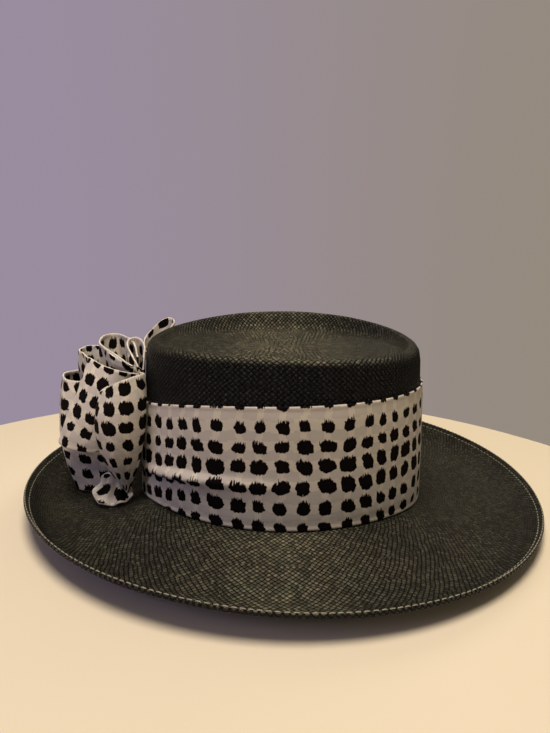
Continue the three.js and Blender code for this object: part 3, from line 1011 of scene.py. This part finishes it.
def end_pairs(rows):
    """The faces that close the cut end of a sheet, between its two faces."""
    inner_foot = 2 * rows + CAP_POINTS - 1
    pairs = [(j, j + 1, inner_foot - j - 1, inner_foot - j) for j in range(rows - 1)]
    pairs.append(tuple(range(rows - 1, rows + CAP_POINTS + 1)))
    pairs.append((*range(inner_foot, inner_foot + CAP_POINTS + 1), 0))
    return pairs


# %% Build a sheet and measure it


def cloth_sheet(name, columns, closed, place_of, hem_shows_print=True):
    """place_of(i, j) gives the place in millimetres of the surface's column i and row j."""
    sections, row_of = cloth_sections(columns, closed)
    rows = len(columns[0])
    pairs = () if closed else end_pairs(rows)

    def section_place(i, j, _):
        along, up = place_of(i, row_of[j])
        on_hem = rows <= j < rows + CAP_POINTS or 0 <= j - 2 * rows - CAP_POINTS < CAP_POINTS
        if on_hem and not hem_shows_print:
            up = round(up / DAUB_PITCH[1]) * DAUB_PITCH[1]
        return along, up

    piece = grid_mesh(name, sections, section_place, CLOTH, closed, True, pairs)
    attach(piece, "root")
    return piece


def run_along(columns, closed):
    """How far along the middle of the strip each column lies."""
    middle = len(columns[0]) // 2
    run = [0.0]
    for i in range(1, len(columns) + (1 if closed else 0)):
        run.append(run[-1] + (columns[i % len(columns)][middle] - columns[i - 1][middle]).length)
    return run


def flat_area(columns, closed):
    total = 0.0
    count = len(columns)
    for i in range(count if closed else count - 1):
        for j in range(len(columns[0]) - 1):
            a, b = columns[i][j], columns[(i + 1) % count][j]
            c, d = columns[(i + 1) % count][j + 1], columns[i][j + 1]
            total += ((b - a).cross(d - a).length + (b - c).cross(d - c).length) / 2
    return total / 1e6


# %% [markdown]
# The band is one strip of cloth, laid round the crown and sewn at its hems. Low on the near side a tuck
# is taken in it: the upper cloth rolls over and hides a little of the cloth below, so it catches the
# light and throws a shadow. A wall that only moved in and out could not overhang, so the tuck also
# slides the points near it downwards. Towards the bow the tuck runs down and closes, and away from it
# it opens into a soft swell. Small slow waves keep the cloth from being a perfect cylinder.

# %% Band
BAND_COLUMNS = 320
BAND_ROWS = 76
BAND_OFF = 0.55
BAND_BELLY = 0.35  # and as much more between the hems
BAND_WAVE = 0.5
PULLS = 0.4  # creases where the bow's sewing pulls at the band
PULLS_TURN, PULLS_REACH = 205, 30
TUCK_TURN = 232
TUCK_TO_BOW, TUCK_TO_FRONT = 46, 52  # over how many degrees it fades out on either side
TUCK_HEIGHT = 40.5
TUCK_DROP = 14.5
TUCK_DROPS_FROM, TUCK_DROPS_OVER = 254, 52
TUCK_OPENS_FROM, TUCK_OPENS_OVER = 220, 34
ROLL_OUT = 3.2
ROLL_UP = 3.2
ROLL_DOWN = (1.4, 8.0)  # closed, open
DIP_IN = 0.6
DIP_BELOW, DIP_REACH = 4.5, 3.0
DRAG_DOWN = (1.7, 0.2)  # closed, open
DRAG_REACH = 1.5


def tuck_height(turn):
    towards_bow = clamp01(turn_between(turn, TUCK_DROPS_FROM) / TUCK_DROPS_OVER)
    return TUCK_HEIGHT - TUCK_DROP * towards_bow ** 2


def tuck_strength(turn):
    beyond = turn_between(TUCK_TURN, turn)
    return smooth(1 - beyond / TUCK_TO_FRONT) if beyond > 0 else smooth(1 + beyond / TUCK_TO_BOW)


def tuck_at(turn, from_tuck):
    """How far the tuck lifts the cloth off the crown at a height above it, and how far it drags it down."""
    opening = smooth(turn_between(TUCK_OPENS_FROM, turn) / TUCK_OPENS_OVER)
    roll = hump(from_tuck, ROLL_UP if from_tuck > 0 else mix(*ROLL_DOWN, opening))
    dip = hump(from_tuck + DIP_BELOW, DIP_REACH)
    drag = mix(*DRAG_DOWN, opening) * hump(from_tuck, DRAG_REACH)
    strength = tuck_strength(turn)
    return strength * (ROLL_OUT * roll - DIP_IN * dip), strength * drag


def band_column(turn):
    low, top = band_low(turn), band_top(turn)
    column = []
    for j in range(BAND_ROWS + 1):
        height = mix(low, top, j / BAND_ROWS)
        lift, drag = tuck_at(turn, height - tuck_height(turn))
        free = smooth((height - low) / 8) * smooth((top - height) / 8)
        wave = BAND_WAVE * wander_round(turn, height * 0.7, 22, 4.4)
        near_bow = smooth(1 - abs(turn_between(PULLS_TURN, turn)) / PULLS_REACH)
        pulls = PULLS * math.sin(math.radians(turn * 9 + height * 2.2)) * near_bow
        off = GAP + FIELD_THICK / 2 + BAND_OFF + free * (BAND_BELLY + wave + pulls) + lift
        half_length, half_width = crown_oval(height)
        column.append(on_oval(half_length + off, half_width + off, turn, height - drag))
    return column


print("tuck's height on the near side and by the bow:", [round(tuck_height(t), 1) for t in (270, 202)])

# %% [markdown]
# The rows of the print aren't quite evenly spaced, and they follow the band's upper hem. The table says
# at which height on the near side the middle of each row lies, counted in rows. TUCK_TAKES is how much
# cloth is hidden in the fold, where the print jumps. The columns of daubs draw together and apart a
# little too, which is done in the print group.

# %% Band, placed and printed
TUCK_TAKES = 4.5
FOLD_BELOW, FOLD_OVER = 2.6, 2.2
ROW_MIDDLES = [(2, 0.5), (14, 1.5), (26, 2.5), (39.5, 3.5), (53, 4.5), (65, 5.5), (77.2, 6.5), (92, 7.5)]

band_columns = [band_column(360 * i / BAND_COLUMNS) for i in range(BAND_COLUMNS)]
band_run = run_along(band_columns, True)
daubs_round = round(band_run[-1] / DAUB_PITCH[0])


def band_place(i, j):
    turn = 360 * i / BAND_COLUMNS
    height = mix(band_low(turn), band_top(turn), j / BAND_ROWS)
    below_fold = 1 - smooth((height - tuck_height(turn) + FOLD_BELOW) / FOLD_OVER)
    hidden = TUCK_TAKES * tuck_strength(turn) * below_fold
    height += band_top(270) - band_top(turn) - hidden
    along = band_run[i] * daubs_round * DAUB_PITCH[0] / band_run[-1]
    return along, through(ROW_MIDDLES, height) * DAUB_PITCH[1]


band_piece = cloth_sheet("cloth_band", band_columns, True, band_place)
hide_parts("hat_band")
print("band:", round(band_run[-1]), "mm round,", daubs_round, "daubs")
print("band area:", round(flat_area(band_columns, True), 4), "square metres")

# %% [markdown]
# The bow is a long strip of the same cloth, laid in loops and caught together against the crown. Here
# each loop is a sheet of its own. Cloth simulation could drape such loops, but it would move them off
# the outline that the hat has. So they are drawn by ribs, as a boat is: each rib is a line across the
# strip, given by its upper end, its lower end, and how far it bulges outwards between them. A smooth
# surface is run through the ribs, from where the loop leaves the knot round to where it comes back. The
# walls at the back of a loop lean outwards at their upper ends, so that light falls into the loop.

# %% Ribs of the bow's loops, in millimetres
#     upper end            lower end           bulge
LOOP_RIBS = {
    "near": [
        (-105, -29, 91, -107, -27, 50, 0),
        (-117, -42, 85, -109, -37, 18, 8),
        (-116, -49, 85.5, -108, -41, 17, 9),
        (-106, -53, 91.5, -106, -43, 16, 9),
        (-96, -47, 94.5, -105, -43, 15, 8),
        (-92.5, -36, 93.5, -105, -40, 16, 6),
        (-97, -27, 92, -101, -26, 52, 0),
    ],
    "side": [
        (-101, -30, 97, -104, -20, 62, 0),
        (-117, -18, 101.5, -114, -19, 58, 0),
        (-132, 4, 102.5, -126, -7, 56, 0),
        (-144, 11, 101, -138, 2, 60, 2),
        (-147, 3, 99.5, -145, 3, 66, 2),
        (-139, -11, 100.5, -140, 0, 62, 1),
        (-131, -27, 101.5, -136, -12, 50, 0),
        (-128.5, -29.5, 101.5, -154, -27, 43.5, 1),
        (-117, -36, 98, -140, -37, 41, 3),
        (-106, -37, 95, -122, -38, 42, 3),
        (-97, -31, 92, -103, -28, 60, 0),
    ],
    "outer": [
        (-112, -2, 86, -112, -2, 30, 0),
        (-138, 4, 85, -134, 8, 9, 4),
        (-153, 4, 84, -146, 6, 6, 5),
        (-157.5, -2, 83.5, -151, -6, 4.5, 7),
        (-154, -10, 82, -149, -17, 4, 6),
        (-145, -13, 81, -141, -22, 4, 4),
        (-132, -13, 81, -128, -25, 7, 3),
        (-112, -14, 82, -112, -22, 30, 0),
    ],
    "back": [
        (-101, -16, 100, -104, -12, 60, 0),
        (-108, 2, 106, -108, -2, 50, 2),
        (-118, 18, 107, -116, 4, 46, 2),
        (-127, 28, 107, -124, 12, 44, 2),
        (-134, 21, 107, -133, 12, 44, 2),
        (-134, 7, 105, -133, 6, 46, 2),
        (-124, -8, 103.5, -122, -4, 50, 0),
        (-112, -22, 101.5, -112, -12, 56, 0),
        (-101, -30, 96, -104, -18, 60, 0),
    ],
    "small": [
        (-95, -27, 94, -98, -24, 72, 0),
        (-95, -22, 103, -97, -20, 72, 1),
        (-97, -12, 106.5, -99, -12, 74, 1),
        (-102, 0, 108.5, -103, -2, 76, 1),
        (-108, 6, 109, -107, 2, 76, 1),
        (-111, 0, 108, -109, -2, 76, 1),
        (-108, -12, 105, -107, -12, 74, 1),
        (-98, -28, 96, -101, -24, 72, 0),
    ],
    "far": [
        (-100, 12, 96, -103, 10, 66, 0),
        (-107, 30, 95, -108, 28, 46, 2),
        (-112, 50, 98, -112, 48, 38, 2),
        (-110, 64, 103, -110, 62, 34, 2),
        (-103, 71, 110, -103, 69, 32, 2),
        (-95, 70, 113, -95, 68, 32, 2),
        (-90, 60, 111, -91, 58, 36, 2),
        (-93, 40, 105, -97, 40, 46, 2),
        (-98, 16, 98, -102, 14, 66, 0),
    ],
}


def curve_through(points, share):
    """A smooth curve through points of any number of coordinates (Catmull-Rom)."""
    place = share * (len(points) - 1)
    k = min(int(place), len(points) - 2)
    t = place - k
    before = points[k - 1] if k > 0 else [2 * a - b for a, b in zip(points[0], points[1])]
    after = points[k + 2] if k + 2 < len(points) else [2 * a - b for a, b in zip(points[-1], points[-2])]
    return [
        0.5 * (2 * b + (c - a) * t + (2 * a - 5 * b + 4 * c - d) * t * t + (3 * b - a - 3 * c + d) * t ** 3)
        for a, b, c, d in zip(before, points[k], points[k + 1], after)
    ]


print("ribs of the loops:", {name: len(ribs) for name, ribs in LOOP_RIBS.items()})

# %% [markdown]
# The cloth has to stay clear of crown and brim. Each point that comes too near is pushed out to where
# the cloth can lie: sideways off the crown or the band, and upwards off the brim. Which share of the
# brim's width a point stands over is found by halving: too far in or too far out, eighteen times.

# %% Keep the bow's cloth clear of the straw
CLOTH_ROOM = 1.0
BAND_STANDS_OFF = GAP + HEM_THICK + 1.2


def clear_of_crown(point):
    turn = math.degrees(math.atan2(point.y, point.x - CROWN_CENTRE_X))
    room = CLOTH_ROOM + mix(BAND_STANDS_OFF, 0.0, smooth((point.z - band_top(turn) - 1) / 6))
    half_length, half_width = crown_oval(point.z)
    x = point.x - CROWN_CENTRE_X
    reach = math.hypot(x / (half_length + room), point.y / (half_width + room))
    if reach < 1:
        point.x, point.y = CROWN_CENTRE_X + x / reach, point.y / reach
    return point


def brim_share_at(x, y):
    low, high = 0.0, 1.0
    for _ in range(18):
        share = (low + high) / 2
        centre_x, half_length, half_width = brim_oval(share)
        if math.hypot((x - centre_x) / half_length, y / half_width) > 1:
            low = share
        else:
            high = share
    return high


def clear_of_brim(point):
    share = brim_share_at(point.x, point.y)
    centre_x, half_length, half_width = brim_oval(share)
    turn = math.degrees(math.atan2(point.y / half_width, (point.x - centre_x) / half_length))
    lowest = brim_underside(max(share, BRIM_START), turn) + STRAW_WALL + CLOTH_ROOM
    point.z = max(point.z, lowest)
    return point


print("share of the brim's width 130 mm behind the middle:", round(brim_share_at(-130, 0), 3))

# %% [markdown]
# The surface through the ribs is too smooth for cloth. Two things are added along its normals. Gathers
# fan out from where the loop is caught, strong there and gone after a few centimetres, and slow soft
# waves run over the whole sheet, because cloth that was folded by hand never lies in one clean curve.

# %% Surface of a loop


def ribbed_surface(ribs, along, across):
    columns, outward = [], []
    for i in range(along + 1):
        top_x, top_y, top_z, low_x, low_y, low_z, bulge = curve_through(ribs, i / along)
        columns.append((Vector((low_x, low_y, low_z)), Vector((top_x, top_y, top_z)), bulge))
    for i in range(along + 1):
        ahead, behind = columns[min(i + 1, along)], columns[max(i - 1, 0)]
        way = (ahead[0] + ahead[1]) - (behind[0] + behind[1])
        outward.append(Vector((way.y, -way.x, 0)).normalized())
    surface = []
    for (low, top, bulge), out in zip(columns, outward):
        column = []
        for j in range(across + 1):
            v = j / across
            column.append(low.lerp(top, v) + out * (bulge * math.sin(math.pi * v) ** 0.9))
        surface.append(column)
    return surface


def pushed(surface, push_at):
    """Moves every point along its normal by push_at(i, j, point), and keeps it clear of the straw."""
    shaped = []
    for i, (column, line) in enumerate(zip(surface, outward_normals(surface, False))):
        moved = [point + normal * push_at(i, j, point) for j, (point, normal) in enumerate(zip(column, line))]
        shaped.append([clear_of_brim(clear_of_crown(point)) for point in moved])
    return shaped


def creased(surface, seed, gather_depth, wave_depth, gathers):
    """Pushes a surface in and out: gathers near its two ends, waves all over."""
    run, last_row = run_along(surface, False), len(surface[0]) - 1

    def push_at(i, j, point):
        from_end, v = min(run[i], run[-1] - run[i]), j / last_row
        push = gather_depth * smooth(from_end / 3) * (1 - smooth((from_end - 4) / 22))
        push *= math.sin(2 * math.pi * (gathers * v + seed)) * math.sin(math.pi * v) ** 0.3
        slow = wander(point.x, point.y, point.z * 0.6, 17, seed)
        quick = wander(point.x, point.y, point.z * 0.8, 6.5, seed + 9)
        return push + wave_depth * smooth(from_end / 12) * (slow + 0.3 * quick)

    return pushed(surface, push_at)


# %% [markdown]
# Now each loop becomes a sheet with its print, which counts down from the upper hem. The rows of daubs
# run level on some loops and along the hems on others, depending on how the strip was turned, so each
# loop has a share for that. The areas are measured and printed: they are what the lengths of the strip
# would have to be cut to.

# %% Bow loops
LOOP_STEPS = (180, 56)
LOOP_LOOKS = {
    # size it was cut to (m), print runs level (1) or along the hem (0), shift of the print,
    # depth of the gathers, depth of the waves, number of gathers
    "near": ((0.072, 0.085), 0.75, (4.5, 3.5), 0.9, 1.0, 3.4),
    "side": ((0.055, 0.145), 0.0, (6.0, 6.5), 0.9, 1.1, 3.0),
    "outer": ((0.080, 0.115), 0.3, (1.5, 1.0), 0.8, 1.3, 3.0),
    "back": ((0.060, 0.120), 0.3, (7.5, 0.5), 0.9, 0.9, 3.2),
    "small": ((0.030, 0.078), 0.5, (3.0, 0.0), 1.0, 0.5, 2.6),
    "far": ((0.066, 0.122), 0.3, (2.0, 6.0), 0.8, 0.9, 3.2),
}


def strip_place(columns, level_rows, shift):
    """The second number of shift is how far the edge of a row of daubs lies above the upper hem."""
    run = run_along(columns, False)
    level = sum(column[-1].z for column in columns) / len(columns)
    drop = []
    for column in columns:
        lengths = lengths_up(column)
        drop.append([value - lengths[-1] for value in lengths])

    def place_of(i, j):
        return run[i] + shift[0], mix(drop[i][j], columns[i][j].z - level, level_rows) - shift[1]

    return place_of


for number, (name, ribs) in enumerate(LOOP_RIBS.items()):
    cut, level_rows, shift, *depths_and_gathers = LOOP_LOOKS[name]
    surface = creased(ribbed_surface(ribs, *LOOP_STEPS), 1.7 * number + 0.3, *depths_and_gathers)
    piece = cloth_sheet("bow_cloth_" + name, surface, False, strip_place(surface, level_rows, shift), False)
    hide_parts("bow_loop_" + name)
    print(piece.name, "area", round(flat_area(surface, False), 5), "cut", round(cut[0] * cut[1], 5))

# %% [markdown]
# The knot is the middle of the bow: the strip is gathered there and wrapped with a narrow piece of
# itself. Little of it shows between the loops. It is an upright rounded core with pleats round it, made
# as a grid whose radius rises and falls with the turn.

# %% Knot
KNOT_CENTRE = (-102.8, -11, 82)
KNOT_HALF = (4.1, 5.1, 9.8)
KNOT_COLUMNS = 72
KNOT_ROWS = 36


def knot_columns():
    columns = []
    for i in range(KNOT_COLUMNS):
        turn = 2 * math.pi * i / KNOT_COLUMNS
        column = []
        for j in range(KNOT_ROWS + 1):
            up = mix(-1, 1, j / KNOT_ROWS)
            pleat = 1 + 0.07 * math.sin(9 * turn + 2.0 * up) + 0.03 * math.sin(17 * turn)
            out = pleat * math.sqrt(max(1 - up * up, 0.0)) ** 0.8
            directions = (out * math.cos(turn), out * math.sin(turn), up)
            column.append(Vector([c + half * d for c, half, d in zip(KNOT_CENTRE, KNOT_HALF, directions)]))
        columns.append(column)
    return columns


knot_grid = knot_columns()
knot_run = run_along(knot_grid, True)


def knot_place(i, j, _):
    return knot_run[i], knot_grid[i % KNOT_COLUMNS][j].z


knot_piece = grid_mesh("bow_wrap", knot_grid, knot_place, CLOTH)
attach(knot_piece, "root")
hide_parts("bow_knot")
print("knot faces:", len(knot_piece.data.polygons))

# %% [markdown]
# The tail is the strip's short end. It comes out from under the near loop and lies on the brim like a
# small bell: pinched above and behind, spread below. It is drawn by ribs too, with folds that run along
# the ribs and grow towards the free rim.

# %% Tail
TAIL_STEPS = (120, 40)
TAIL_SHIFT = (9.0, 5.5)
TAIL_FOLDS = 4.2
TAIL_FOLD_DEPTH = (1.9, 1.1)  # at its two ends
TAIL_CRUMPLE = 0.9
TAIL_RIBS = [
    (-103, -37, 20, -102, -38, 12, 1),
    (-106, -40, 22, -104, -43, 9, 2),
    (-109, -42, 24, -108, -46, 7.5, 3),
    (-113, -43, 25, -114, -47, 6.5, 4),
    (-117, -42, 26, -121, -46, 6, 4),
    (-120, -40, 25, -126, -43, 7, 3),
    (-123, -37, 22, -129, -38, 11, 2),
    (-122, -33, 20, -127, -33, 15, 1),
]


def tail_surface():
    along, across = TAIL_STEPS

    def fold_at(i, j, point):
        u, to_rim = i / along, 1 - j / across
        fold = math.sin(2 * math.pi * (TAIL_FOLDS * u ** 0.8 + 0.1))
        fold *= mix(*TAIL_FOLD_DEPTH, u) * smooth(to_rim * 1.3)
        return fold + TAIL_CRUMPLE * wander(point.x, point.y, point.z, 8, 7.7)

    return pushed(ribbed_surface(TAIL_RIBS, along, across), fold_at)


tail_grid = tail_surface()
tail_piece = cloth_sheet("bow_tail_cloth", tail_grid, False, strip_place(tail_grid, 0.0, TAIL_SHIFT), False)
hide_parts("bow_tail")
print("tail area:", round(flat_area(tail_grid, False), 5))

# %% [markdown]
# The stage: a plain round pale floor, like the cloth-covered table that a hat is set down on, and a soft
# studio. One large warm lamp hangs above and a little in front of the hat and lights crown and brim. A
# weak one behind it draws the far rim, a cool one on the left and a warm one on the right tint the two
# sides, and a narrow one shines into the loops of the bow. The world is seen as a plain wall colour that
# goes from cool to warm. What it gives as light is warmer and weaker, and comes mostly from above, so
# that the floor under the brim stays dark.

# %% Floor
FLOOR_RADIUS = 341
FLOOR_CENTRE = (-25, -125, -0.2)
FLOOR_DARK, FLOOR_LIGHT = (0.86, 0.76, 0.60, 1), (0.90, 0.80, 0.64, 1)


def floor_material():
    material, shader, place = new_material("pale_floor", 0.9)
    where = place_in_metres(place.tree)
    colour = blend_colours(noise_value(where, 6.0), FLOOR_DARK, FLOOR_LIGHT)
    feed(place.tree, shader.inputs["Base Color"], colour)
    bump(shader, noise_value(where, 900.0), 0.1, 0.3)
    return material


bpy.ops.mesh.primitive_circle_add(vertices=256, radius=FLOOR_RADIUS * MM, fill_type="NGON")
floor = bpy.context.object
floor.name = "floor"
floor.location = Vector(FLOOR_CENTRE) * MM
floor.data.materials.append(floor_material())
print("floor:", 2 * FLOOR_RADIUS, "mm across")

# %% Lamps


def hang(light, power, colour, place, aim):
    """Hangs a light at a place, in metres, so that it shines on another."""
    light.energy = power
    light.color = colour
    lamp = bpy.data.objects.new(light.name, light)
    lamp.location = place
    lamp.rotation_euler = (Vector(aim) - Vector(place)).to_track_quat("-Z", "Y").to_euler()
    bpy.context.scene.collection.objects.link(lamp)


def disk_light(name, size):
    light = bpy.data.lights.new(name, "AREA")
    light.shape = "DISK"
    light.size = size
    return light


hang(disk_light("lamp_above", 0.6), 13.4, (1.0, 0.88, 0.71), (-0.04, -0.24, 1.25), (0, 0, 0.03))
hang(disk_light("lamp_behind", 0.7), 3.5, (1.0, 0.88, 0.68), (0.5, 1.05, 0.9), (0, 0, 0.05))
hang(disk_light("lamp_left", 0.6), 2.4, (0.62, 0.56, 1.0), (-1.1, -0.7, 0.7), (-0.05, 0, 0.06))
hang(disk_light("lamp_right", 0.5), 0.7, (1.0, 0.84, 0.62), (0.9, -0.8, 0.55), (0.05, 0, 0.06))

narrow = bpy.data.lights.new("lamp_bow", "SPOT")
narrow.spot_size = math.radians(11)
narrow.spot_blend = 0.9
narrow.shadow_soft_size = 0.06
hang(narrow, 6.0, (1.0, 0.90, 0.76), (-0.36, -0.42, 0.72), (-0.128, -0.01, 0.085))

# %% The wall around
COOL_WALL, WARM_WALL = (0.32, 0.265, 0.35, 1), (0.30, 0.255, 0.20, 1)
WALL_LIGHT = (0.31, 0.27, 0.215, 1)

world = bpy.data.worlds.new("soft_room")
world.use_nodes = True
bpy.context.scene.world = world
room = world.node_tree
background = room.nodes["Background"]
x, _, z = split(Wired(room, room.nodes.new("ShaderNodeTexCoord").outputs["Generated"]))
seen = Wired(room, room.nodes.new("ShaderNodeLightPath").outputs["Is Camera Ray"])
wall = blend_colours(soft_step(x, -0.5, 0.6), COOL_WALL, WARM_WALL)
feed(room, background.inputs["Color"], blend_colours(seen, WALL_LIGHT, wall))
overhead = soft_step(z, 0.0, 0.9, 0.05, 0.45)
feed(room, background.inputs["Strength"], blend_values(seen, overhead, 1.0))
bpy.context.scene.view_settings.view_transform = "Standard"
print("world nodes:", len(room.nodes))

# %% [markdown]
# The camera stands where the photo was taken from: a little above the hat, about 38 cm in front of its
# middle, tilted down by 14 degrees and rolled by one. The roll is applied about the camera's own axis
# after the tilt.

# %% Camera
CAMERA_PLACE = (-0.0078, -0.3793, 0.1873)
CAMERA_LENS = 27.06
CAMERA_TILT = math.radians(14.21)
CAMERA_ROLL = math.radians(-1.06)

camera_data = bpy.data.cameras.new("camera")
camera_data.sensor_width = 36
camera_data.lens = CAMERA_LENS
camera_data.clip_start = 0.01
camera = bpy.data.objects.new("camera", camera_data)
camera.location = CAMERA_PLACE
view_down = Vector((0, math.cos(CAMERA_TILT), -math.sin(CAMERA_TILT)))
attitude = view_down.to_track_quat("-Z", "Y")
attitude.rotate(Quaternion(view_down, CAMERA_ROLL))
camera.rotation_mode = "QUATERNION"
camera.rotation_quaternion = attitude
bpy.context.scene.collection.objects.link(camera)
bpy.context.scene.camera = camera
print("camera looks along", [round(value, 3) for value in view_down])

# %% [markdown]
# Last, the scene is brought up to date.

# %% Finish
bpy.context.view_layer.update()
